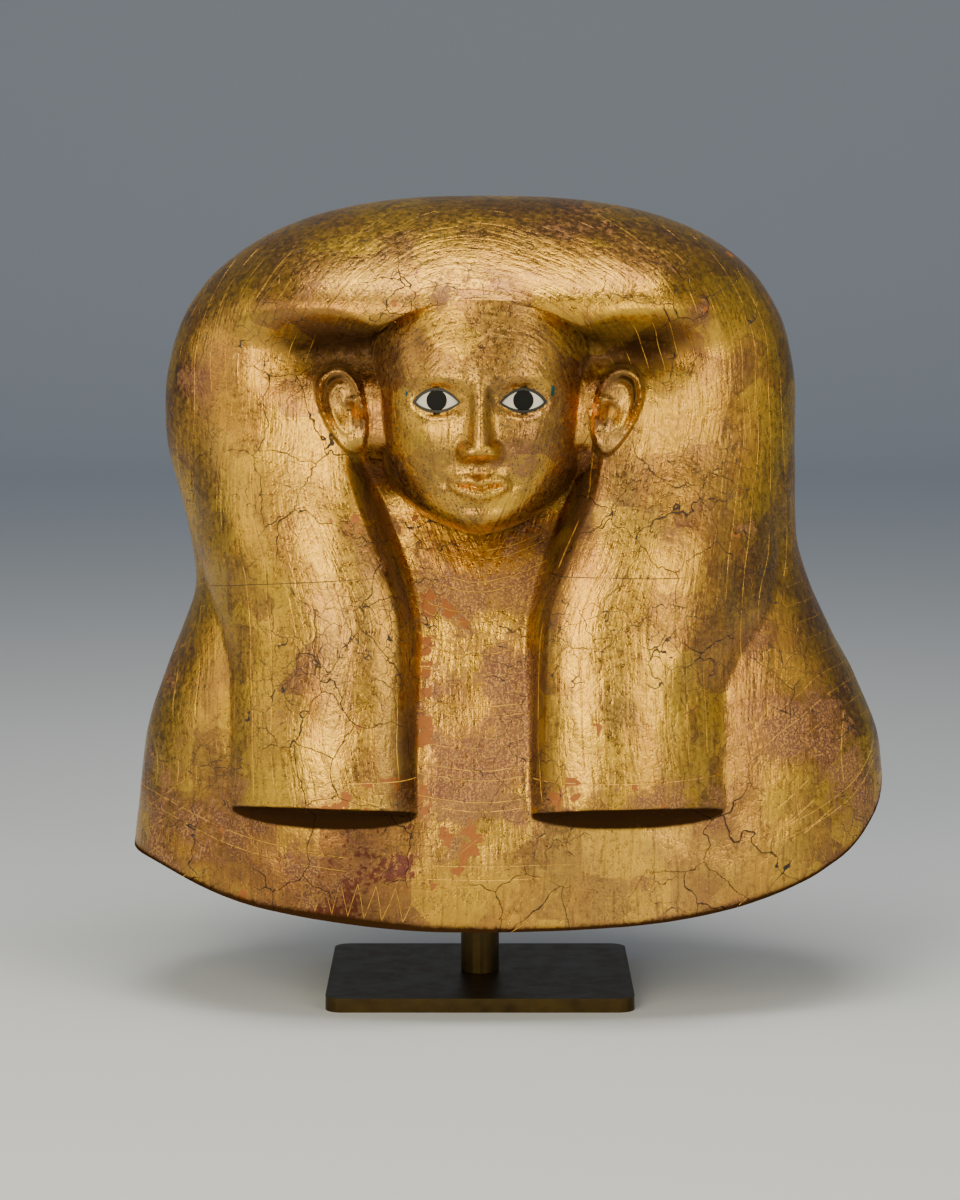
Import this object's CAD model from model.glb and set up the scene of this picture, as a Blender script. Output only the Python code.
"""The gilded mummy mask, its inlaid eyes and its stand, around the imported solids.

Millimetres are used throughout, and turned into metres where a mesh is made. The shell's form is the same
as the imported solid's, with finer steps, and with the unevenness of hand-laid linen and gesso.
"""

import math
from types import SimpleNamespace

import bmesh
import bpy
import numpy as np
from mathutils import Matrix, Vector


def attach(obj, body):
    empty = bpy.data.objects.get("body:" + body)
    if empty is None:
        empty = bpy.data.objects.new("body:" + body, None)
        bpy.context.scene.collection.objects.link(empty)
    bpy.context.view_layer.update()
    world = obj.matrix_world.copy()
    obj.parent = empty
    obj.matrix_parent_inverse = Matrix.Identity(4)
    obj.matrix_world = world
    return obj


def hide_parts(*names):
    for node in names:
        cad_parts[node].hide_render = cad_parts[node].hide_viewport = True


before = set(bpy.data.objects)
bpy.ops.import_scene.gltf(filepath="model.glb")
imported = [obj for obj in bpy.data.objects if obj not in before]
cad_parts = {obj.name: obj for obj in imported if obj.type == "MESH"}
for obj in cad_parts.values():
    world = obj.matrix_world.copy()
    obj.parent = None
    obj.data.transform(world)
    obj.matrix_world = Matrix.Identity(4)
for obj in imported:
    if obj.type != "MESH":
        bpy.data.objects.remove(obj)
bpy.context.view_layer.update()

# Driving sizes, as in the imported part
MASK_HEIGHT = 600.0
HEM_CLEARANCE = 80.0
WALL = 8.0
FACE_EXTRA_WALL = 7.0
FACE_WIDTH = 174.0
FACE_HEIGHT = 187.0
EAR_HEIGHT = 76.0
EAR_WIDTH = 46.0
EAR_THICKNESS = 11.0
LAPPET_THICKNESS = 36.0
NECK_DEPTH = 56.0
RIM_WIDTH = 2.0
INLAY_THICKNESS = 7.0
INLAY_GAP = 0.35
EYE_BULGE = 8.0
RIM_PROUD = 0.6
IRIS_PROUD = 0.5
DOME_START = 415.0
PLAN_EXPONENT = 2.3
DOME_EXPONENT = 2.5
DOME_EXPONENT_RIGHT = 2.64
DOME_EXPONENT_LEFT = 2.44
HALF_WIDTH_RIGHT = [(0, 344), (130, 344), (193, 321), (251, 291), (302, 272), (360, 269), (415, 268)]
HALF_WIDTH_LEFT = [(0, 302), (80, 294), (153, 284), (217, 261), (268, 243), (314, 247), (415, 268)]
FRONT_DEPTH = [(0, 165), (60, 165), (120, 161), (220, 150), (300, 141), (415, 136)]
BACK_DEPTH = [(0, 178), (110, 172), (220, 160), (310, 162), (415, 184)]
HEM_RIGHT = [(0, 0), (30, 11), (60, 50), (77, 87), (95, 127), (120, 146), (180, 132)]
HEM_LEFT = [(0, 0), (32, 14), (62, 42), (90, 52), (120, 86), (150, 120), (180, 132)]

CHIN_Z = 325.0
THIRD = FACE_HEIGHT / 3
NOSE_BASE_Z = CHIN_Z + THIRD
BROW_Z = CHIN_Z + 2 * THIRD
HAIRLINE_Z = CHIN_Z + FACE_HEIGHT
MOUTH_Z = NOSE_BASE_Z - THIRD / 3
EYE_WIDTH = FACE_WIDTH / 5
EYE_X = EYE_WIDTH
EYE_Z = BROW_Z - 0.26 * THIRD
FACE_FRONT = 174.0
EYE_FRONT = FACE_FRONT - 10.5
EYE_TURN = 0.23
EAR_X = FACE_WIDTH / 2 + 0.52 * EAR_WIDTH
EAR_Z = NOSE_BASE_Z + EAR_HEIGHT / 2
EAR_TILT = 0.3
IRIS_RADIUS = EYE_WIDTH * 0.235
IRIS_RISE = EYE_WIDTH * 0.05

# The unevenness of hand-laid linen and gesso: how high its bumps are, how long, and the seed of each kind
UNEVENNESS = ((0.9, 110, 4), (0.4, 34, 8), (0.1, 13, 5))
WAVE_COUNT = 9

# The sizes of the gilding's patterns, and how far apart its incised lines are
GRAIN = 5
FINE_GRAIN = 1.7
FIBRE = 2
FLAKE = 8
LEAF = 47
LONG_CRACK = 56
SHORT_CRACK = 17
STRAND_SPACING = 17
ROW_PAIR_SPACING = 25
ROW_PAIR_GAP = 6.5
ROW_SPACING = ROW_PAIR_SPACING / 2
SCRATCH_SPACING = 15
BORDER_SPACING = 11
DROP_SPACING = 13
DROP_HEIGHT = 28
DROP_FOOT = 7.0  # above the hem
SINGLE_LINE = 400  # so far apart that only one is on the shell

STRAND_CENTRE = 430.0  # the height that the wig's strands run round, over the face
LAPPET_LINE_Z = 127  # the line over a lappet's end
SEAM_Z = 292  # where two sheets of leaf meet across the lappets
PLAN_RADIUS = 265  # turns an angle round the plan into a length


def smooth(a, b, v):
    t = np.clip((v - a) / (b - a), 0, 1)
    return t * t * (3 - 2 * t)


def bell(v, centre, spread):
    return np.exp(-(((v - centre) / spread) ** 2))


def larger(a, b, blend):
    """The larger of two, with the change from one to the other rounded."""
    return (a + b + np.sqrt((a - b) ** 2 + blend**2)) / 2


def curve_through(points, position):
    """A smooth curve through (position, value) points."""
    at = np.asarray(position, float)
    where = np.array([p[0] for p in points], float)
    value = np.array([p[1] for p in points], float)
    slope = np.zeros(len(where))
    slope[1:-1] = (value[2:] - value[:-2]) / (where[2:] - where[:-2])
    i = np.clip(np.searchsorted(where, at, side="left") - 1, 0, len(where) - 2)
    run = where[i + 1] - where[i]
    t = np.clip((at - where[i]) / run, 0, 1)
    return (
        (2 * t**3 - 3 * t**2 + 1) * value[i]
        + (t**3 - 2 * t**2 + t) * slope[i] * run
        + (3 * t**2 - 2 * t**3) * value[i + 1]
        + (t**3 - t**2) * slope[i + 1] * run
    )


def plan(z, inset):
    """Half widths right and left, and depths front and back, at a height."""
    low = np.minimum(z, DOME_START)
    up = np.clip((z - DOME_START) / (MASK_HEIGHT - DOME_START - inset), 0, 1)
    curves = (
        (HALF_WIDTH_RIGHT, DOME_EXPONENT_RIGHT),
        (HALF_WIDTH_LEFT, DOME_EXPONENT_LEFT),
        (FRONT_DEPTH, DOME_EXPONENT),
        (BACK_DEPTH, DOME_EXPONENT),
    )
    return [(curve_through(c, low) - inset) * (1 - up**e) ** (1 / e) for c, e in curves]


def hem_height(angle):
    """The hem's height at angles round the plan: 0 is the front's middle, and above 0 is to the right."""
    degrees = np.degrees(np.abs(angle))
    return np.where(angle > 0, curve_through(HEM_RIGHT, degrees), curve_through(HEM_LEFT, degrees))


def plain_front(x, z, inset=0.0):
    right, left, front, _ = plan(z, inset)
    half = np.maximum(np.where(x > 0, right, left), 1e-6)
    across = np.minimum(1, np.abs(x) / half)
    return front * (1 - across**PLAN_EXPONENT) ** (1 / PLAN_EXPONENT)


# The carving: how far the front stands forward of the plain form
def hair_edge(x):
    across = np.minimum(1, np.abs(x) / (FACE_WIDTH / 2))
    return HAIRLINE_Z + larger(-42 * (1 - np.sqrt(1 - across**2)), -25.0, 5)


def hair_roll(x, z):
    side = np.abs(x)
    soft = smooth(64, 128, side)
    lift = smooth(0, 1, (z - hair_edge(x) + 15 * soft) / (3 + 35 * soft))
    return 34 * lift * smooth(240, 140, side) * smooth(596, 500, z)


def ear_hollow(x, z):
    reach = np.where(z > 470, 30, 25)
    return -23 * bell(z, 470, reach) * smooth(205, 120, np.abs(x))


def inner_edge(x, z):
    return np.where(x > 0, 42, 52) + 50 * smooth(235, 415, z)


def outer_edge(x, z):
    return np.where(x > 0, 200 + 50 * smooth(190, 285, z), 205 + 34 * smooth(200, 320, z))


def lappet_across(x, z):
    """-1 at a lappet's inner edge, 1 at its outer edge."""
    inner = inner_edge(x, z)
    return 2 * (np.abs(x) - inner) / (outer_edge(x, z) - inner) - 1


def lappets(x, z):
    across = np.clip(lappet_across(x, z), -1, 1)
    softness = np.where((x > 0) & (across > 0), 0.95, 0.62)
    profile = (1 - np.abs(across) ** 2.2) ** softness
    end = np.clip((z - 97) / (18 * profile + 1) + 0.5, 0, 1) ** 2
    return LAPPET_THICKNESS * profile * smooth(425, 285, z) * end


def neck(x, z):
    inside = smooth(14, -6, np.abs(x) - inner_edge(x, z))
    depth = NECK_DEPTH * np.clip((z - 40) / 300, 0, 1) ** 1.8
    return -depth * inside * smooth(405, 350, z)


def face_mass(x, z):
    up = (z - CHIN_Z) / FACE_HEIGHT
    below = np.clip((0.6 - up) / 0.6, 0, 1)
    half = (FACE_WIDTH / 2 + 5) * (1 - below**2.6) ** (1 / 2.2)
    q = np.minimum(1, (np.abs(x) / np.maximum(half, 1e-3)) ** 2.6)
    sides = 100 * (1 - np.sqrt(1 - q))
    under_chin = 24 * (1 - np.sqrt(1 - np.clip(1 - (z - CHIN_Z) / 26, 0, 1) ** 2))
    forehead = 20 * smooth(0.66, 1.06, up) ** 1.2 + 5 * smooth(0.5, 0, up)
    under_hair = 400 * smooth(2, 30, z - hair_edge(x)) ** 1.5
    mass = FACE_FRONT - sides - under_chin - forehead - under_hair
    return np.where((q >= 1) | (z < CHIN_Z), -1e3, mass)


def brows(side, z):
    arch = BROW_Z + 4 - 0.0036 * (side - 34) ** 2
    ridge = 2.2 * bell(z, arch, 7.5) * smooth(2, 16, side) * smooth(76, 50, side)
    socket = -8.5 * bell(side, EYE_X - 1, 20) * bell(z, EYE_Z + 2, 12.5)
    inner_corner = -2.4 * bell(side, 15, 7) * bell(z, EYE_Z + 4, 9)
    return ridge + socket + inner_corner


def nose(side, z):
    up = (z - NOSE_BASE_Z) / (BROW_Z - NOSE_BASE_Z)
    height = (19.5 - 14.5 * np.clip((up - 0.15) / 0.85, 0, 1)) * smooth(1.32, 0.9, up)
    ridge = height * smooth(-4, 8.5, z - NOSE_BASE_Z) ** 0.8
    width = 6.8 + 4.2 * smooth(0.6, 0.1, up)
    bridge = ridge * (0.78 * np.exp(-((side / width) ** 2.5)) + 0.22 * bell(side, 0, 2.1 * width))
    wing_x = (side - 12) / 6.4
    wing_z = (z - NOSE_BASE_Z - 6.2) / 7.4
    from_wing = np.hypot(wing_x, wing_z)
    wing = 7.6 * np.exp(-(from_wing**2.8))
    crease = -1.3 * bell(from_wing, 1.5, 0.3) * smooth(-0.3, 0.8, wing_z + 0.6 * wing_x)
    nostril = -2.2 * bell(side, 7.5, 3.6) * bell(z, NOSE_BASE_Z - 0.5, 2.6)
    return bridge + wing + crease + nostril


def mouth(side, z):
    muzzle = 5 * bell(side, 0, 31) * bell(z, MOUTH_Z, 20)
    half_width = EYE_WIDTH * 0.76
    u = np.minimum(1, side / half_width)
    taper = (1 - u**2) ** 0.72
    line = MOUTH_Z + 2.4 * u**2 - 0.8 * bell(u, 0, 0.18)
    upper_middle = line + 5.2 * taper - 1.1 * bell(side, 0, 3.4)
    upper = 4.2 * taper**0.8 * bell(z, upper_middle, 0.8 + 3.6 * taper)
    lower = 5 * taper**0.8 * bell(z, line - 6.2 * taper, 0.8 + 4.4 * taper)
    parting = -2.2 * taper**0.5 * bell(z, line, 1.5)
    corner = -2.4 * bell(side, half_width + 1, 4.5) * bell(z, MOUTH_Z + 2, 5)
    groove = (0.8 * bell(side, 5, 2.6) - 1.4 * bell(side, 0, 3)) * bell(z, NOSE_BASE_Z - 8, 6)
    return muzzle + upper + lower + parting + corner + groove


def cheeks_and_chin(side, z):
    fold = -3.4 * bell(side, 0, 19) * bell(z, MOUTH_Z - 17.5, 5)
    chin = 7 * bell(side, 0, 22) * bell(z, CHIN_Z + 17, 14)
    cheeks = 5 * bell(side, 45, 21) * bell(z, EYE_Z - 29, 23)
    beside_nose = bell(side - 21 - 0.32 * (NOSE_BASE_Z + 4 - z), 0, 6)
    span = smooth(MOUTH_Z - 2, MOUTH_Z + 8, z) * smooth(NOSE_BASE_Z + 14, NOSE_BASE_Z + 2, z)
    temple = -3 * bell(side, 76, 12) * bell(z, BROW_Z + 10, 20)
    return fold + chin + cheeks - 1.6 * beside_nose * span + temple


def face(x, z):
    side = np.abs(x)
    mass = face_mass(x, z)
    skin = mass + brows(side, z) + nose(side, z) + mouth(side, z) + cheeks_and_chin(side, z)
    eye_across = (side - EYE_X) / (EYE_WIDTH / 2 + 4.5)
    eye_up = (z - EYE_Z) / np.where(z > EYE_Z, 13.5, 10.5)
    from_eye = np.hypot(eye_across, eye_up)
    seat = EYE_FRONT - math.tan(EYE_TURN) * (side - EYE_X)
    skin = skin + (seat - skin) * smooth(1.3, 0.85, from_eye) + 1.5 * bell(from_eye, 1, 0.17)
    return np.where(mass < -900, -1e3, skin)


def ear(x, z):
    dx = np.abs(x) - EAR_X
    dz = z - EAR_Z
    across = (dx * math.cos(EAR_TILT) - dz * math.sin(EAR_TILT)) / (EAR_WIDTH / 2)
    up = (dx * math.sin(EAR_TILT) + dz * math.cos(EAR_TILT)) / (EAR_HEIGHT / 2)
    width = np.maximum(0.3, 0.79 + 0.21 * up)
    r = (np.abs(across / width) ** 2.15 + np.abs(up) ** 2.15) ** (1 / 2.15)
    plate = 1 - smooth(0.9, 1.08, r)
    rim = bell(r, 0.87, 0.09) * smooth(-0.55, -0.1, up)
    rim = rim * smooth(-1.15, -0.6, across + 0.35 * np.minimum(0, up))
    groove = bell(r, 0.68, 0.1) * smooth(-0.35, 0.1, up) * smooth(-0.55, 0.1, across)
    from_bowl = np.hypot((across + 0.1) / 0.5, (up - 0.05) / 0.52)
    fold = bell(from_bowl, 1, 0.22) * smooth(-0.5, 0.1, across)
    bowl = bell(across, -0.16, 0.3) * bell(up, -0.08, 0.33)
    crest = bell(across, -0.35, 0.3) * bell(up, 0.16, 0.07)
    flap = bell(across, -0.56, 0.14) * bell(up, -0.14, 0.17)
    lobe = bell(across, -0.05, 0.3) * bell(up, -0.74, 0.2)
    raised = 0.38 * rim + 0.18 * fold + 0.3 * crest + 0.35 * flap + 0.16 * lobe
    return np.where(r > 1.25, 0, EAR_THICKNESS * plate * (0.72 + raised - 0.3 * groove - 0.72 * bowl))


def broad_relief(x, z):
    return hair_roll(x, z) + ear_hollow(x, z) + lappets(x, z) + neck(x, z)


def waves(x, y, z, length, seed):
    """A soft unevenness between about -1 and 1, with bumps of about that length."""
    rng = np.random.default_rng(seed)
    total = np.zeros(np.shape(x))
    for _ in range(WAVE_COUNT):
        direction = rng.normal(size=3)
        direction *= (2 * math.pi / length) * rng.uniform(0.6, 1.2) / np.linalg.norm(direction)
        total = total + np.sin(direction[0] * x + direction[1] * y + direction[2] * z + rng.uniform(0, 7))
    return total / math.sqrt(WAVE_COUNT)


def front_relief(x, z):
    plain = plain_front(x, z)
    wig = plain + broad_relief(x, z) + ear(x, z)
    return larger(wig, face(x, z), 2) - plain


def hollow_relief(x, z):
    """The broad forms only: the least that the relief is within one wall around."""

    def broad(px, pz):
        return larger(plain + broad_relief(px, pz), face_mass(px, pz) - FACE_EXTRA_WALL, 2) - plain

    plain = plain_front(x, z)
    least = broad(x, z)
    for reach in (0.35, 0.7, 1.0):
        back = WALL * (1 - math.sqrt(1 - reach**2))
        for k in range(10):
            turn = (k + reach) * (math.pi / 5)
            shift_x = reach * WALL * math.cos(turn)
            shift_z = reach * WALL * math.sin(turn)
            least = np.minimum(least, broad(x + shift_x, z + shift_z) + back)
    return least


def surface_points(angle, t, inset):
    """Points up the line at an angle round the plan: t is 0 at the hem, 1 at the dome's start, 2 on top."""
    hem = hem_height(angle)
    rise = MASK_HEIGHT - DOME_START - inset
    turn = np.maximum(0, t - 1) * (math.pi / 2)
    z = np.where(t < 1, hem + (DOME_START - hem) * t, DOME_START + rise * np.sin(turn) ** (2 / DOME_EXPONENT))
    right, left, front, back = plan(z, inset)
    sine, cosine = math.sin(angle), math.cos(angle)
    power = 2 / PLAN_EXPONENT
    x = math.copysign(abs(sine) ** power, sine) * (right if sine > 0 else left)
    y = -math.copysign(abs(cosine) ** power, cosine) * (front if cosine > 0 else back)
    if cosine > 0:
        relief = hollow_relief(x, z) if inset else front_relief(x, z)
        y = y - float(smooth(0, 0.25, cosine)) * relief
    if not inset:
        shake = sum(height * waves(x, y, z, length, seed) for height, length, seed in UNEVENNESS)
        on_face = smooth(95, 75, np.abs(x)) * smooth(320, 340, z) * smooth(515, 500, z)
        push = shake * (1 - 0.85 * on_face) * smooth(2, 1.8, t)
        x = x + push * sine * 0.6
        y = y - push * cosine
    return np.column_stack([x, y, z])


def t_at_height(angle, z, inset):
    hem = hem_height(angle)
    low = np.clip((z - hem) / (DOME_START - hem), 0, 1)
    up = np.clip((z - DOME_START) / (MASK_HEIGHT - DOME_START - inset), 0, 1)
    return np.where(z < DOME_START, low, 1 + np.arcsin(up ** (DOME_EXPONENT / 2)) / (math.pi / 2))


def heights(levels):
    """Heights from low to high, with the given spacing between each pair of levels."""
    found = []
    for (low, spacing), (high, _) in zip(levels, levels[1:]):
        n = max(1, round((high - low) / spacing))
        found += [low + (high - low) * k / n for k in range(n)]
    return found


# Levels are heights, each with the spacing of the points from there on
def crown_levels(top):
    return [(top - 65, 5), (top - 20, 3), (top - 5, 1.3), (top - 1.2, 0.4), (top - 0.1, 0.1)]


def outer_levels(angle):
    """Closest at the lappets' ends, the ears and the face."""
    x = abs(surface_points(angle, np.array([1.0]), 0)[0][0])
    crown = crown_levels(MASK_HEIGHT)
    if math.cos(angle) < 0.05:
        return [(150, 7), (300, 7), (480, 6)] + crown
    lappet_end = [(76, 1.6), (118, 4.5)]
    if x > 150:
        return lappet_end + [(420, 3.4)] + crown
    if x > 92:
        return lappet_end + [(300, 2.6), (EAR_Z - 42, 1.2), (EAR_Z + 42, 2.2)] + crown
    over_face = [(300, 1.8), (CHIN_Z + 8, 1.7), (HAIRLINE_Z - 24, 1.2), (HAIRLINE_Z + 8, 4)]
    return lappet_end + over_face + crown


def hollow_levels(_):
    return [(120, 14), (300, 9), (490, 9)] + crown_levels(MASK_HEIGHT - WALL)


def angles_round(face_step, ear_step, side_step, turn):
    """Angles round the plan: steps across the face, ears and sides in millimetres, and a turn behind them."""

    def at_x(x):
        return math.asin((x / HALF_WIDTH_RIGHT[-1][1]) ** (PLAN_EXPONENT / 2))

    face_end, ear_end, side_end = 100, 150, 232
    parts = ((0, face_end, face_step), (face_end, ear_end, ear_step), (ear_end, side_end, side_step))
    half = []
    for low, high, step in parts:
        n = round((high - low) / step)
        half += [at_x(low + (high - low) * k / n) for k in range(n)]
    rest = math.pi - at_x(side_end)
    n = round(rest / turn)
    half += [at_x(side_end) + rest * k / n for k in range(n)]
    return half + [math.pi] + [-a for a in reversed(half[1:])]


class Surface:
    """Lines of points from the hem to the crown, each with its own spacing, and the strips between."""

    def __init__(self):
        self.points = []
        self.faces = []

    def skin(self, angles, levels_at, inset):
        crown = len(self.points)
        self.points.append(surface_points(math.pi, np.array([2.0]), inset)[0])
        chains = []
        for angle in angles:
            hem = float(hem_height(angle))
            levels = [level for level in levels_at(angle) if level[0] > hem + 6]
            first_spacing = 3.0 if inset == 0 else 12.0
            t = t_at_height(angle, np.array(heights([(hem, first_spacing)] + levels)), inset)
            start = len(self.points)
            self.points.extend(surface_points(angle, t, inset))
            chains.append([(float(v), start + i) for i, v in enumerate(t)] + [(2.0, crown)])
        return chains

    def zip(self, left, right, flip):
        i = j = 0
        while i < len(left) - 1 or j < len(right) - 1:
            can_left = i < len(left) - 1
            take_left = can_left and (j == len(right) - 1 or left[i + 1][0] <= right[j + 1][0])
            third = left[i + 1][1] if take_left else right[j + 1][1]
            a, b = left[i][1], right[j][1]
            if len({a, b, third}) == 3:
                self.faces.append((b, a, third) if flip else (a, b, third))
            i, j = (i + 1, j) if take_left else (i, j + 1)


def new_object(name, points, faces):
    """An object from points in millimetres and faces."""
    mesh = bpy.data.meshes.new(name)
    mesh.from_pydata((np.array(points) / 1000).tolist(), [], faces)
    mesh.validate()
    mesh.update()
    thing = bpy.data.objects.new(name, mesh)
    bpy.context.scene.collection.objects.link(thing)
    return thing


def shell_object():
    """The shell, with material 0 outside, and material 1 in the hollow and under the hem."""
    surface = Surface()
    outer_angles = angles_round(face_step=1.6, ear_step=1.3, side_step=3.0, turn=0.036)
    hollow_angles = angles_round(face_step=9, ear_step=10, side_step=12, turn=0.09)
    outside = surface.skin(outer_angles, outer_levels, 0)
    hollow = surface.skin(hollow_angles, hollow_levels, WALL)
    outer_faces = 0
    for chains, flip in ((outside, False), (hollow, True)):
        for k, chain in enumerate(chains):
            surface.zip(chain, chains[(k + 1) % len(chains)], flip)
        outer_faces = outer_faces or len(surface.faces)

    def hem_of(chains, angles):
        ring = [(a % (2 * math.pi), chain[0][1]) for a, chain in zip(angles, chains)]
        return ring + [(2 * math.pi, ring[0][1])]

    surface.zip(hem_of(outside, outer_angles), hem_of(hollow, hollow_angles), False)
    points = np.array(surface.points)
    points[:, 2] += HEM_CLEARANCE
    shell = new_object("mask_shell_visual", points, surface.faces)
    inside = np.arange(len(surface.faces)) >= outer_faces
    shell.data.polygons.foreach_set("material_index", inside.astype(np.int32))
    return shell


def boolean(thing, other, operation):
    """thing joined with, cut by or kept within other, which is removed."""
    step = thing.modifiers.new("cut", "BOOLEAN")
    step.object = other
    step.operation = operation
    step.solver = "MANIFOLD"  # exact enough for closed meshes, and quick
    depsgraph = bpy.context.evaluated_depsgraph_get()
    mesh = bpy.data.meshes.new_from_object(thing.evaluated_get(depsgraph))
    thing.modifiers.clear()
    thing.data = mesh
    bpy.data.objects.remove(other)
    return thing


# The inlaid eyes. Depth is measured forward from an eye's seat.
CLEAR = 20.0  # far enough to reach through an inlay


def almond(margin):
    """The outline of an eye, with a margin round it."""
    steps = 48
    half_length = EYE_WIDTH / 2 + margin
    upper = EYE_WIDTH * 0.27 + margin
    lower = EYE_WIDTH * 0.17 + margin
    outline = []
    for height, direction in ((upper, 1), (-lower, -1)):
        for k in range(steps):
            s = direction * (-1 + 2 * k / steps)
            outline.append((half_length * s, height * (1 - abs(s) ** (2 + 0.25 * s)) ** 0.9))
    return outline


def disc(radius):
    steps = 72
    turns = [2 * math.pi * k / steps for k in range(steps)]
    return [(radius * math.cos(t), IRIS_RISE + radius * math.sin(t)) for t in turns]


def prism(outline, front, back):
    n = len(outline)
    points = [(x, -front, z) for x, z in outline] + [(x, -back, z) for x, z in outline]
    faces = [tuple(range(n)), tuple(reversed(range(n, 2 * n)))]
    faces += [(k, n + k, n + (k + 1) % n, (k + 1) % n) for k in range(n)]
    return outward(new_object("prism", points, faces))


def outward(thing):
    """Turns the faces outward."""
    shape = bmesh.new()
    shape.from_mesh(thing.data)
    bmesh.ops.recalc_face_normals(shape, faces=shape.faces)
    shape.to_mesh(thing.data)
    shape.free()
    return thing


def lens(front):
    """A shallow convex front as wide as two eyes, with a flat back."""
    rings, segments = 10, 64
    radius = EYE_WIDTH
    depth = 2 * INLAY_THICKNESS
    points = [(0, -front, 0)]
    for k in range(1, rings + 1):
        r = radius * k / rings
        for j in range(segments):
            turn = 2 * math.pi * j / segments
            points.append((r * math.cos(turn), EYE_BULGE * (k / rings) ** 2 - front, r * math.sin(turn)))
    last = 1 + (rings - 1) * segments
    points += [(points[last + j][0], depth, points[last + j][2]) for j in range(segments)]
    faces = [(0, 1 + j, 1 + (j + 1) % segments) for j in range(segments)]
    for k in range(rings):
        a, b = 1 + k * segments, 1 + (k + 1) * segments
        faces += [(a + j, b + j, b + (j + 1) % segments, a + (j + 1) % segments) for j in range(segments)]
    faces.append(tuple(range(1 + rings * segments, 1 + (rings + 1) * segments)))
    return outward(new_object("lens", points, faces))


def place_eye(thing, side):
    """Moves a piece made at the seat's middle to the eye at the viewer's right (1) or left (-1)."""
    flip = Matrix.Diagonal((side, 1, 1, 1))
    turn = Matrix.Rotation(side * EYE_TURN, 4, "Z")
    move = Matrix.Translation(Vector((side * EYE_X, -EYE_FRONT, EYE_Z + HEM_CLEARANCE)) / 1000)
    thing.data.transform(move @ turn @ flip)
    if side < 0:
        thing.data.flip_normals()
    return thing


def eye_rim():
    rim = prism(almond(RIM_WIDTH + INLAY_GAP), RIM_PROUD, -INLAY_THICKNESS)
    return boolean(rim, prism(almond(INLAY_GAP), CLEAR, -CLEAR), "DIFFERENCE")


def eye_white():
    white = boolean(prism(almond(0), CLEAR, -INLAY_THICKNESS), lens(1), "INTERSECT")
    seat = prism(disc(IRIS_RADIUS + INLAY_GAP), CLEAR, -INLAY_THICKNESS / 2)
    return boolean(white, seat, "DIFFERENCE")


def eye_iris():
    iris = prism(disc(IRIS_RADIUS), CLEAR, INLAY_GAP - INLAY_THICKNESS / 2)
    iris = boolean(iris, prism(almond(0), CLEAR, -CLEAR), "INTERSECT")
    return boolean(iris, lens(1 + IRIS_PROUD), "INTERSECT")


def smooth_shading(thing, angle):
    """Smooth shading with edges sharper than the angle kept crisp."""
    thing.data.shade_smooth()
    thing.data.set_sharp_from_angle(angle=math.radians(angle))


def finish_piece(thing, name, node):
    thing.name = name
    thing.data.name = name
    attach(thing, "root")
    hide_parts(node)


# Materials
def linear(hex_colour):
    """An sRGB colour such as "c08040" as linear RGBA."""
    parts = [int(hex_colour[k : k + 2], 16) / 255 for k in (0, 2, 4)]
    return [p / 12.92 if p <= 0.04045 else ((p + 0.055) / 1.055) ** 2.4 for p in parts] + [1.0]


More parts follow.
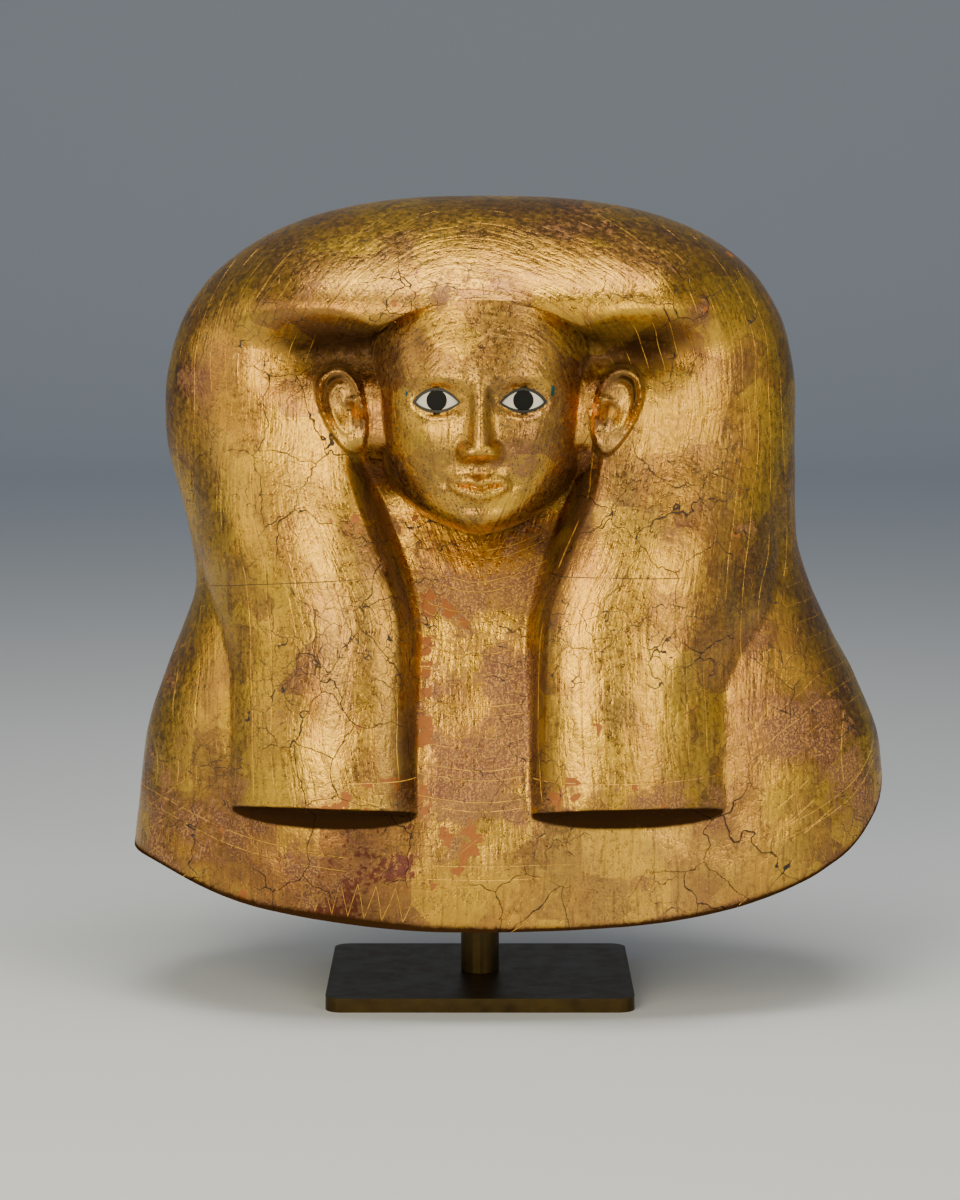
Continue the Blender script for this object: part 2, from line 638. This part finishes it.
class Nodes:
    """Adds nodes to a material's tree. Lengths are in millimetres of the object's own space."""

    COLOUR_A = 6
    COLOUR_B = 7

    def __init__(self, name, comment):
        self.material = bpy.data.materials.new(name)
        self.material.use_nodes = True
        self.material["comment"] = comment
        self.tree = self.material.node_tree
        self.shader = self.tree.nodes["Principled BSDF"]

    def add(self, kind, links=None, values=None, out=0, **settings):
        """Adds a node and returns one of its outputs. links joins inputs to sockets, values sets inputs."""
        node = self.tree.nodes.new(kind)
        for key, value in settings.items():
            setattr(node, key, value)
        for key, value in (values or {}).items():
            node.inputs[key].default_value = value
        for key, socket in (links or {}).items():
            self.tree.links.new(socket, node.inputs[key])
        return node.outputs[out]

    def place(self):
        """The place on the object, in millimetres."""
        own = self.add("ShaderNodeTexCoord", out="Object")
        return self.add("ShaderNodeVectorMath", {0: own}, {"Scale": 1000}, operation="SCALE")

    def value(self, name):
        """What the mesh says at the point, from a named attribute."""
        return self.add("ShaderNodeAttribute", out="Fac", attribute_name=name)

    def calculate(self, operation, first, second):
        """A calculation on a socket, and on a second socket or a number."""
        if isinstance(second, float):
            return self.add("ShaderNodeMath", {0: first}, {1: second}, operation=operation)
        return self.add("ShaderNodeMath", {0: first, 1: second}, operation=operation)

    def both(self, first, second):
        """Where both masks are."""
        return self.calculate("MULTIPLY", first, second)

    def either(self, first, *others):
        """Where any of the masks is."""
        for other in others:
            first = self.calculate("MAXIMUM", first, other)
        return first

    def weighted(self, socket, weight, rest=None):
        """A value times a number, added to the rest."""
        links = {0: socket} if rest is None else {0: socket, 2: rest}
        return self.add("ShaderNodeMath", links, {1: weight, 2: 0.0}, operation="MULTIPLY_ADD")

    def step(self, value, low, high, top=1.0):
        """Nothing where the value is at low, top where it is at high, and a soft change between."""
        limits = {"From Min": low, "From Max": high, "To Max": top}
        return self.add("ShaderNodeMapRange", {"Value": value}, limits, interpolation_type="SMOOTHSTEP")

    def noise(self, where, size, detail):
        """Cloudy values with forms about that many millimetres across."""
        values = {"Scale": 1 / size, "Detail": detail, "Roughness": 0.62}
        return self.add("ShaderNodeTexNoise", {"Vector": where}, values, "Fac")

    def lines(self, across, period, width):
        """Thin lines a period apart."""
        apart = self.calculate("PINGPONG", self.weighted(across, 1 / period), 0.5)
        return self.step(apart, width / period, 0.3 * width / period)

    def cells(self, where, size, out, values=None, **settings):
        """Cells about that many millimetres across."""
        values = {"Scale": 1 / size, **(values or {})}
        return self.add("ShaderNodeTexVoronoi", {"Vector": where}, values, out, **settings)

    def cracks(self, where, size, width):
        """Branching cracks between cells of that size."""
        edge = self.cells(where, size, "Distance", feature="DISTANCE_TO_EDGE")
        return self.step(edge, width / size, 0.2 * width / size)

    def squares(self, where, size):
        """An uneven value for each of the squares that gold leaf is laid in."""
        random = self.cells(where, size, "Color", {"Randomness": 0.75}, distance="CHEBYCHEV")
        return self.add("ShaderNodeSeparateColor", {0: random})

    def layers(self, colour, coats):
        """Colours laid one over another, each through its mask."""
        for mask, over in coats:
            links = {0: mask, self.COLOUR_A: colour}
            colour = self.add("ShaderNodeMix", links, {self.COLOUR_B: linear(over)}, 2, data_type="RGBA")
        return colour

    def bump(self, heights):
        """A bumpy normal from masks and their heights in millimetres."""
        total = None
        for mask, height in heights:
            total = self.weighted(mask, height, total)
        return self.add("ShaderNodeBump", {"Height": total}, {"Distance": 0.001, "Strength": 1.0})

    def surface(self, links=None, values=None):
        for key, value in (values or {}).items():
            self.shader.inputs[key].default_value = value
        for key, socket in (links or {}).items():
            self.tree.links.new(socket, self.shader.inputs[key])
        return self.material


def plain_material(name, comment, colour, roughness, ior=1.5, specular=0.5):
    nodes = Nodes(name, comment)
    values = {"Base Color": linear(colour), "Roughness": roughness, "IOR": ior}
    return nodes.surface(values={**values, "Specular IOR Level": specular})


def incised_lines(nodes):
    """The strands of the wig, the rows of the collar, the border and drops of the bib, and scratches."""

    def kind(along, spacing, width, seen):
        return nodes.both(nodes.lines(nodes.value(along), spacing, width), nodes.value(seen))

    zigzag = nodes.calculate("PINGPONG", nodes.weighted(nodes.value("round"), 1 / DROP_SPACING), 0.5)
    above = nodes.calculate("SUBTRACT", nodes.weighted(zigzag, 2 * DROP_HEIGHT), nodes.value("above_hem"))
    above = nodes.calculate("ADD", above, DROP_FOOT)
    from_drop = nodes.add("ShaderNodeMath", {0: above}, operation="ABSOLUTE")
    return nodes.either(
        kind("strand", STRAND_SPACING, 0.55, "strands"),
        kind("row", ROW_SPACING, 0.6, "rows"),
        kind("scratch", SCRATCH_SPACING, 0.35, "scratches"),
        kind("above_hem", BORDER_SPACING, 0.5, "border"),
        nodes.both(nodes.step(from_drop, 1.5, 0.4), nodes.value("drops")),
    )


def gold_material():
    """The leaf's slow changes of tone and wear come from the mesh, and all that is fine is made here."""
    nodes = Nodes("gilded_cartonnage", "gold leaf over red bole and gesso: worn, cracked, incised and dirty")
    where = nodes.place()
    grain = nodes.noise(where, GRAIN, 3)
    fine = nodes.noise(where, FINE_GRAIN, 1)
    along = nodes.add("ShaderNodeCombineXYZ", {0: nodes.value("strand"), 1: nodes.value("along")})
    drawn = nodes.add("ShaderNodeVectorMath", {0: along}, {1: (0.5, 0.05, 1.0)}, operation="MULTIPLY")
    fibres = nodes.noise(drawn, FIBRE, 2)
    leaf = nodes.squares(where, LEAF)

    def ragged(name, low, high, share=0.9):
        """Where a value of the mesh is high, with an edge made ragged by the grain."""
        return nodes.step(nodes.weighted(grain, share, nodes.value(name)), low, high)

    worn = ragged("worn", 0.84, 1.12)
    bare = ragged("bare", 0.95, 1.0)
    grime = ragged("grime", 0.35, 1.15, 0.5)
    paste = ragged("paste", 1.02, 1.08)
    speckle = nodes.both(nodes.step(fine, 0.52, 0.72), nodes.value("speckled"))
    loose = nodes.step(nodes.squares(where, FLAKE), 0.6, 0.62)
    flakes = nodes.both(loose, nodes.step(nodes.value("flaked"), 0.5, 0.52))

    bent = nodes.add("ShaderNodeAttribute", out="Vector", attribute_name="bent_place")
    cracked = nodes.step(nodes.value("cracked"), 0.45, 0.55)
    crazed = nodes.step(nodes.value("crazed"), 0.46, 0.54)
    long_cracks = nodes.both(nodes.cracks(bent, LONG_CRACK, 0.45), cracked)
    short_cracks = nodes.both(nodes.cracks(bent, SHORT_CRACK, 0.36), crazed)
    seam = nodes.both(nodes.lines(nodes.value("seam"), SINGLE_LINE, 0.5), nodes.value("seams"))
    crack = nodes.either(long_cracks, short_cracks, seam)
    incised = incised_lines(nodes)

    coats = (
        (nodes.step(leaf, 0.5, 0.8, 0.4), "eebc38"),  # brighter sheets of leaf
        (nodes.step(leaf, 0.4, 0.15, 0.35), "87613f"),  # duller sheets of leaf
        (nodes.step(fibres, 0.5, 0.72, 0.5), "6c4c38"),  # rubbed strands
        (nodes.step(grain, 0.55, 0.75, 0.45), "f2c648"),  # high grain, bright
        (nodes.step(grain, 0.47, 0.3, 0.45), "86583c"),  # low grain, dull
        (nodes.weighted(worn, 0.8), "6c4036"),  # bole showing through
        (nodes.both(worn, nodes.step(fine, 0.49, 0.6)), "b9863f"),  # leaf left on the bole
        (bare, "6e2a1c"),
        (nodes.both(bare, nodes.step(fine, 0.45, 0.6, 0.6)), "8a4c2e"),  # dusty bole
        (flakes, "a05a12"),
        (speckle, "34291f"),
        (grime, "33200f"),
        (nodes.both(incised, nodes.step(grain, 0.3, 0.55)), "eab044"),  # bright leaf in the lines
        (crack, "22150d"),
        (paste, "2a5b5a"),
    )
    tone = nodes.add("ShaderNodeAttribute", out="Color", attribute_name="tone")
    colour = nodes.layers(tone, coats)
    dull = nodes.either(nodes.weighted(worn, 0.55), nodes.weighted(bare, 0.8), flakes, grime, crack, speckle)
    roughness = nodes.weighted(dull, 0.3, nodes.step(grain, 0.3, 0.7, 0.18))
    bumps = ((grain, 0.65), (fine, 0.22), (fibres, 0.6), (incised, -0.45), (long_cracks, -0.9))
    return nodes.surface(
        {
            "Base Color": colour,
            "Metallic": nodes.step(dull, 1.0, 0.0, 0.97),
            "Roughness": nodes.calculate("ADD", roughness, 0.2),
            "Specular IOR Level": nodes.step(grime, 1.0, 0.0, 0.5),
            "Normal": nodes.bump(bumps),
        }
    )


def linen_material():
    nodes = Nodes("linen_inside", "coarse linen and gesso inside the shell")
    where = nodes.place()
    colour = nodes.add("ShaderNodeRGB")
    colour.default_value = linear("8f7a5c")
    cloud = nodes.noise(where, 30, 4)
    colour = nodes.layers(colour, ((nodes.step(cloud, 0.4, 0.65, 0.7), "5f4d38"),))
    bump = nodes.bump(((nodes.noise(where, 2.2, 2), 0.5), (cloud, 1.5)))
    return nodes.surface({"Base Color": colour, "Normal": bump}, {"Roughness": 0.92, "IOR": 1.5})


def brass_material():
    nodes = Nodes("patinated_brass", "dark patinated brass")
    where = nodes.place()
    colour = nodes.add("ShaderNodeRGB")
    colour.default_value = linear("4a3d25")
    cloud = nodes.noise(where, 18, 4)
    coats = ((nodes.step(cloud, 0.45, 0.7, 0.5), "5c4a2a"), (nodes.step(cloud, 0.5, 0.3, 0.5), "352b1b"))
    roughness = nodes.calculate("ADD", nodes.step(cloud, 0.2, 0.8, 0.16), 0.36)
    links = {"Base Color": nodes.layers(colour, coats), "Roughness": roughness}
    links["Normal"] = nodes.bump(((nodes.noise(where, 1.2, 2), 0.03),))
    return nodes.surface(links, {"Metallic": 1.0})


# What the gilding's material reads from the shell's vertices
def strand_coordinates(x, z):
    """How far out a strand lies, and how far along it a point is."""
    rise = 1.06 * np.maximum(0, z - STRAND_CENTRE)
    out = np.hypot(x, rise)
    lean = 50 * smooth(235, 415, z) * np.clip((250 - out) / 150, 0, 1)
    turn = np.arctan2(rise, np.maximum(np.abs(x), 1e-3))
    return out - lean, np.minimum(z, STRAND_CENTRE) + out * turn


def plan_angle(x, y, z):
    """The angle round the plan of a point near the surface, from the front's middle."""
    right, left, _, _ = plan(z, 0.0)
    half = np.maximum(np.where(x > 0, right, left), 1e-6)
    angle = np.arcsin(np.clip(np.abs(x) / half, 0, 1) ** (PLAN_EXPONENT / 2))
    return np.where(y < 0, angle, math.pi - angle) * np.sign(x)


def clouds(points, size, seed, octaves=4):
    """Cloudy values, mostly from 0.25 to 0.75, with forms about that many millimetres across."""
    rng = np.random.default_rng(seed)
    count = 32
    lattice = rng.random((count, count, count))
    total = np.zeros(len(points))
    weight = 0.0
    for k in range(octaves):
        scaled = points * (2**k / size) + rng.uniform(0, count, 3)
        cell = np.floor(scaled).astype(int)
        part = scaled - cell
        part = part * part * (3 - 2 * part)
        for corner in range(8):
            bits = [(corner >> axis) & 1 for axis in range(3)]
            share = np.ones(len(points))
            for axis in range(3):
                share = share * (part[:, axis] if bits[axis] else 1 - part[:, axis])
            i, j, m = [(cell[:, axis] + bits[axis]) % count for axis in range(3)]
            total += 0.55**k * share * lattice[i, j, m]
        weight += 0.55**k
    return total / weight


def vertex_vectors(mesh, name):
    """A vector of each vertex, such as its place or its normal."""
    values = np.zeros(3 * len(mesh.vertices))
    mesh.vertices.foreach_get(name, values)
    return values.reshape(-1, 3)


def cavity(mesh):
    """How hollow the mesh is about each vertex: above 0 in a hollow, below 0 on a ridge."""
    rounds = 6
    ends = np.zeros(2 * len(mesh.edges), np.int32)
    mesh.edges.foreach_get("vertices", ends)
    a, b = ends.reshape(-1, 2).T
    points = vertex_vectors(mesh, "co")
    normals = vertex_vectors(mesh, "normal")
    count = np.bincount(a, minlength=len(points)) + np.bincount(b, minlength=len(points))
    gap = points[b] - points[a]
    length = np.maximum(np.linalg.norm(gap, axis=1), 1e-6)
    bend = np.bincount(a, np.einsum("ij,ij->i", gap, normals[a]) / length, len(points))
    bend -= np.bincount(b, np.einsum("ij,ij->i", gap, normals[b]) / length, len(points))
    bend /= count
    for _ in range(rounds):
        near = np.bincount(a, bend[b], len(points)) + np.bincount(b, bend[a], len(points))
        bend = 0.5 * bend + 0.5 * near / count
    return bend


def blend_tones(base, coats):
    """Colours laid one over another at each vertex, each through its mask."""
    colour = np.array(linear(base))[None, :]
    for mask, over in coats:
        colour = colour + mask[:, None] * (np.array(linear(over))[None, :] - colour)
    return colour


def places_on(mesh):
    """Where the shell's vertices are. The parts of the carving are masks from 0 to 1."""
    points = 1000 * vertex_vectors(mesh, "co")
    x, y, z = points.T
    z = z - HEM_CLEARANCE
    side = np.abs(x)
    front = smooth(10, -30, y)
    angle = plan_angle(x, y, z)
    above_hem = z - hem_height(angle)
    across = lappet_across(x, z)
    on_face = smooth(-1, 2, face(x, z) - plain_front(x, z) - broad_relief(x, z)) * front
    on_ear = smooth(0.3, 2.5, ear(x, z)) * front
    between = smooth(3, -3, side - inner_edge(x, z)) * smooth(400, 380, z) * front
    on_lappet = smooth(1.03, 0.97, np.abs(across)) * smooth(425, 380, z) * front
    end_reach = 9 * (1 - np.clip(np.abs(across), 0, 1) ** 2.2) ** 0.62
    return SimpleNamespace(
        points=points,
        x=x,
        z=z,
        side=side,
        front=front,
        angle=angle,
        above_hem=above_hem,
        hollow=cavity(mesh),
        on_face=on_face,
        on_ear=on_ear,
        wig=(1 - on_face) * (1 - on_ear),
        between=between,
        chest=between * smooth(84, 96, z),
        bib=smooth(100, 84, z) * front,
        on_lappet=on_lappet,
        inner_wall=on_lappet * smooth(-0.6, -0.95, across) * smooth(90, 110, z),
        band=on_lappet * smooth(100, 106, z) * smooth(136, 124, z),
        under_end=on_lappet * smooth(99, 96, z - end_reach) * smooth(93, 97, z + 1.2 * end_reach),
        over_ear=bell(z, 478, 26) * smooth(200, 140, side) * (1 - on_face) * front,
        under_chin=bell(z, CHIN_Z - 8, 28) * smooth(72, 48, side) * (1 - on_face) * front,
        right_shoulder=bell(x, 300, 70) * bell(z, 150, 85) * front,
        left_shoulder=bell(x, -268, 45) * bell(z, 110, 75) * front,
        edge=smooth(10, 1, above_hem),
        lip=smooth(4, 1, above_hem),
        middle=clouds(points, 60, 2),
        small=clouds(points, 24, 3),
    )


def gilding_tone(p):
    """The slow changes of the gilding's colour."""
    streaks = clouds(p.points * (1.0, 1.0, 0.2), 26, 32)
    tones = (
        (0.6 * smooth(0.42, 0.62, clouds(p.points, 150, 1, 3)), "b98740"),
        (0.55 * smooth(0.5, 0.66, p.middle), "a36a40"),
        (0.6 * smooth(0.48, 0.34, p.middle), "eab63a"),
        (0.45 * smooth(0.52, 0.64, p.small), "825c44"),
        (0.4 * p.wig * smooth(0.55, 0.66, clouds(p.points, 85, 31)), "7d5440"),
        (0.25 * p.on_lappet * smooth(0.55, 0.62, streaks), "94814a"),
        (0.7 * p.inner_wall, "5e4430"),
        (0.85 * p.over_ear, "54301a"),
        (0.35 * p.on_face, "a58040"),
        (0.5 * p.on_ear, "a08048"),
        (0.65 * p.on_face * smooth(45, 82, p.side), "9a6638"),
        (0.4 * p.on_face * smooth(0.5, 0.6, p.small), "7d5c30"),
        (0.35 * p.right_shoulder + 0.6 * p.left_shoulder, "74503f"),
        (0.75 * p.bib * bell(p.x, -125, 95), "784638"),
        (0.7 * p.bib * bell(p.x, 130, 80), "eab455"),
        (0.95 * p.under_end, "3a1c0c"),
        (0.6 * p.under_chin, "6a3a28"),
    )
    return blend_tones("dfa63a", tones)


def wear_values(p):
    """Where the leaf is worn, bare, flaked, dirty, speckled or cracked, and where blue-green paste is."""
    worn_bib = p.bib * bell(p.x, -115, 80)
    wear = 0.42 * p.chest + 0.02 * p.bib + 0.42 * worn_bib + 0.28 * p.inner_wall + 0.4 * p.band
    wear += 0.42 * p.right_shoulder + 0.4 * p.left_shoulder + 0.3 * p.edge
    wear += 0.22 * bell(p.z, 515, 26) * smooth(90, 130, p.side) * smooth(250, 200, p.side) * p.front
    wear += 0.3 * smooth(-0.1, -0.3, p.hollow)
    wear = wear * (1 - 0.8 * p.on_face) * (1 - 0.8 * p.on_ear)

    bare = 0.45 * p.bib * bell(p.x, -105, 60) + 0.06 * p.chest + 0.25 * p.edge
    bare = bare + 1.6 * (clouds(p.points, 45, 7) - 0.5)

    flaked = 0.1 * p.chest + 0.5 * p.chest * bell(p.x, -46, 9) * smooth(290, 250, p.z)
    flaked = flaked + 0.5 * p.bib * bell(p.x, -15, 45) + 0.26 * p.band
    flaked = flaked + 2 * (clouds(p.points, 38, 8) - 0.5)

    grime = 0.9 * smooth(0.04, 0.24, p.hollow) + 0.9 * p.under_end + 0.75 * p.over_ear
    grime += 0.4 * p.edge + 0.8 * p.lip + 0.48 * worn_bib + 0.5 * p.inner_wall + 0.4 * p.under_chin
    grime += 0.4 * p.on_face * smooth(52, 84, p.side) + 0.4 * p.on_ear * smooth(-0.05, 0.1, p.hollow)
    grime += 0.8 * (clouds(p.points, 70, 9) - 0.5)

    speckled = p.on_face * smooth(0.4, 0.52, clouds(p.points, 40, 10))
    from_corner = np.hypot(p.side - EYE_X - 25, 0.6 * (p.z - EYE_Z - 8))
    return {
        "worn": 0.12 + wear + 1.6 * (p.middle - 0.5) + 0.8 * (p.small - 0.5),
        "bare": bare - 0.1 * p.wig - p.on_face,
        "flaked": flaked - p.on_face,
        "grime": grime,
        "speckled": speckled + 0.6 * p.wig * smooth(0.56, 0.66, clouds(p.points, 70, 11)),
        "paste": 0.6 * bell(from_corner, 0, 9) * p.on_face,
        "cracked": p.wig * (clouds(p.points, 85, 14) - 0.06 * (p.z > STRAND_CENTRE) - 0.3 * p.chest),
        "crazed": p.wig * (clouds(p.points, 55, 15) - 0.06 + 0.1 * p.chest),
    }


def line_values(p):
    """What each kind of incised line is counted along, and how well it is seen."""

    def patches(low, high, size, seed):
        return smooth(low, high, clouds(p.points, size, seed))

    drift = 26 * (clouds(p.points, 90, 13, 2) - 0.5)
    strand, along = strand_coordinates(p.x, p.z)
    arc = p.z - (0.0023 + 0.003 * smooth(180, 280, p.z)) * p.x**2 + 0.25 * drift
    pair = ROW_PAIR_SPACING
    in_pair = np.interp(arc % pair, (0, ROW_PAIR_GAP, pair), (0, ROW_SPACING, pair))
    arcs = pair * np.floor(arc / pair) + in_pair
    from_line = p.z - LAPPET_LINE_Z
    line = p.on_lappet * smooth(6, 4, np.abs(from_line))
    scratched = p.wig * (1 - p.on_lappet) * (1 - p.chest) * smooth(420, 300, p.z)
    border = smooth(38, 40, p.above_hem) * smooth(60, 58, p.above_hem) * p.front
    drops = smooth(6, 8, p.above_hem) * smooth(36, 34, p.above_hem) * p.front
    return {
        "strand": strand + drift,
        "along": along,
        "strands": p.wig * (1 - p.between) * smooth(108, 116, p.z) * patches(0.44, 0.56, 38, 12),
        "row": np.where(p.on_lappet > 0.5, from_line, arcs),
        "rows": p.chest * smooth(330, 300, p.z) * patches(0.38, 0.46, 26, 16) + line,
        "seam": p.z - SEAM_Z + 0.0006 * (p.x + 60) ** 2 * (p.x < 0) + 0.3 * drift,
        "seams": p.on_lappet * patches(0.36, 0.42, 40, 33),
        "scratch": 0.55 * p.x - 0.8 * p.z + drift,
        "scratches": scratched * patches(0.5, 0.56, 45, 35),
        "round": PLAN_RADIUS * p.angle + drift,
        "above_hem": p.above_hem + 0.1 * drift,
        "border": border * patches(0.4, 0.46, 60, 34),
        "drops": drops * patches(0.42, 0.5, 60, 17),
    }


def paint_values(mesh):
    """Writes the gilding's tones and the places of its wear and carving to the shell's vertices."""
    p = places_on(mesh)
    wander = np.column_stack([clouds(p.points, 13, seed, 3) - 0.5 for seed in (21, 22, 23)])
    layers = [(name, "FLOAT", "value", value) for name, value in {**wear_values(p), **line_values(p)}.items()]
    layers.append(("tone", "FLOAT_COLOR", "color", gilding_tone(p)))
    layers.append(("bent_place", "FLOAT_VECTOR", "vector", p.points + 15 * wander))
    for name, kind, key, value in layers:
        mesh.attributes.new(name, kind, "POINT").data.foreach_set(key, value.astype(np.float32).ravel())


# The shell, cut for the eyes' inlays
gold = gold_material()
linen = linen_material()
shell = shell_object()
for material in (gold, linen):
    shell.data.materials.append(material)
for side in (-1, 1):
    cutter = prism(almond(RIM_WIDTH + 2 * INLAY_GAP), CLEAR, -INLAY_THICKNESS - INLAY_GAP)
    cutter.data.materials.append(gold)  # or the cut leaves an empty slot
    boolean(shell, place_eye(cutter, side), "DIFFERENCE")
smooth_shading(shell, 55)
paint_values(shell.data)

ebony = plain_material("ebony", "polished dark wood", "15100d", 0.42)
alabaster = plain_material("alabaster", "white polished stone", "d9d4c8", 0.3, ior=1.53)
obsidian = plain_material("obsidian", "black volcanic glass, matt and dusty", "08090a", 0.6, specular=0.2)
brass = brass_material()
felt = plain_material("felt", "grey felt", "3b3a38", 0.95)

finish_piece(shell, "mask_shell_visual", "mask_shell")

# The inlays. Left and right are the wearer's.
for side, name in ((-1, "right"), (1, "left")):
    for make, part, material, slot in (
        (eye_rim, "eye_rim_", ebony, "ebony"),
        (eye_white, "eye_white_", alabaster, "alabaster"),
        (eye_iris, "eye_iris_", obsidian, "obsidian"),
    ):
        piece = place_eye(make(), side)
        smooth_shading(piece, 40)
        piece.data.materials.clear()  # the cuts leave an empty slot
        piece.data.materials.append(material)
        finish_piece(piece, part + name + "_visual", part + name)

# The stand's solids are shown as they are
for node, material in (("stand_post", brass), ("stand_foot", brass), ("stand_head", felt)):
    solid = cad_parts[node]
    solid.data.materials.clear()
    solid.data.materials.append(material)


# The studio: a pale floor that curves up behind, soft lights and the camera
def floor_object():
    half_width, near, bend_start, bend_radius, top = 14.0, -8.0, 6.0, 3.0, 9.0
    line = [(near, 0.0), (bend_start, 0.0)]
    for k in range(1, 25):
        turn = math.pi / 2 * k / 24
        line.append((bend_start + bend_radius * math.sin(turn), bend_radius * (1 - math.cos(turn))))
    line.append((bend_start + bend_radius, top))
    points = [(x, y, z) for y, z in line for x in (-half_width, half_width)]
    faces = [(2 * k, 2 * k + 1, 2 * k + 3, 2 * k + 2) for k in range(len(line) - 1)]
    mesh = bpy.data.meshes.new("floor")
    mesh.from_pydata(points, [], faces)
    mesh.shade_smooth()
    thing = bpy.data.objects.new("floor", mesh)
    bpy.context.scene.collection.objects.link(thing)
    mesh.materials.append(plain_material("floor", "plain pale studio floor", "dce3f0", 0.8))


def softbox(name, place, target, width, height, watts, colour):
    light = bpy.data.lights.new(name, "AREA")
    light.shape = "RECTANGLE"
    light.size = width
    light.size_y = height
    light.energy = watts
    light.color = linear(colour)[:3]
    thing = bpy.data.objects.new(name, light)
    thing.location = place
    thing.rotation_euler = (Vector(target) - Vector(place)).to_track_quat("-Z", "Y").to_euler()
    bpy.context.scene.collection.objects.link(thing)


floor_object()
softbox("key", (-1.15, -2.65, 1.35), (0, 0, 0.4), 1.6, 2.2, 64, "fff0c4")
softbox("fill", (1.75, -2.3, 1.2), (0, 0, 0.4), 1.3, 2.0, 34, "fff2d0")
softbox("side", (-2.4, -0.6, 1.2), (0, 0, 0.4), 1.4, 1.8, 12, "fff4d6")
softbox("far side", (2.4, -0.6, 1.2), (0, 0, 0.4), 1.4, 1.8, 4, "fff4d6")
softbox("top", (0, -0.6, 2.6), (0, 0, 0.5), 1.8, 1.0, 42, "fff8e4")

world = bpy.data.worlds.new("studio")
world.use_nodes = True
world.node_tree.nodes["Background"].inputs["Color"].default_value = linear("9aa0a5")
world.node_tree.nodes["Background"].inputs["Strength"].default_value = 0.5
bpy.context.scene.world = world

FOCAL_PIXELS = 3400.0
PICTURE_HEIGHT = 1200.0
SENSOR = 36.0
CAMERA_DISTANCE = 2.9
EYE_LEVEL = 0.658
CAMERA_PITCH = 0.1108
camera_data = bpy.data.cameras.new("camera")
camera_data.sensor_fit = "VERTICAL"
camera_data.sensor_height = SENSOR
camera_data.lens = SENSOR * FOCAL_PIXELS / PICTURE_HEIGHT
camera = bpy.data.objects.new("camera", camera_data)
camera.location = (0, -CAMERA_DISTANCE, EYE_LEVEL)
camera.rotation_euler = (math.pi / 2 - CAMERA_PITCH, 0, 0)
bpy.context.scene.collection.objects.link(camera)
bpy.context.scene.camera = camera
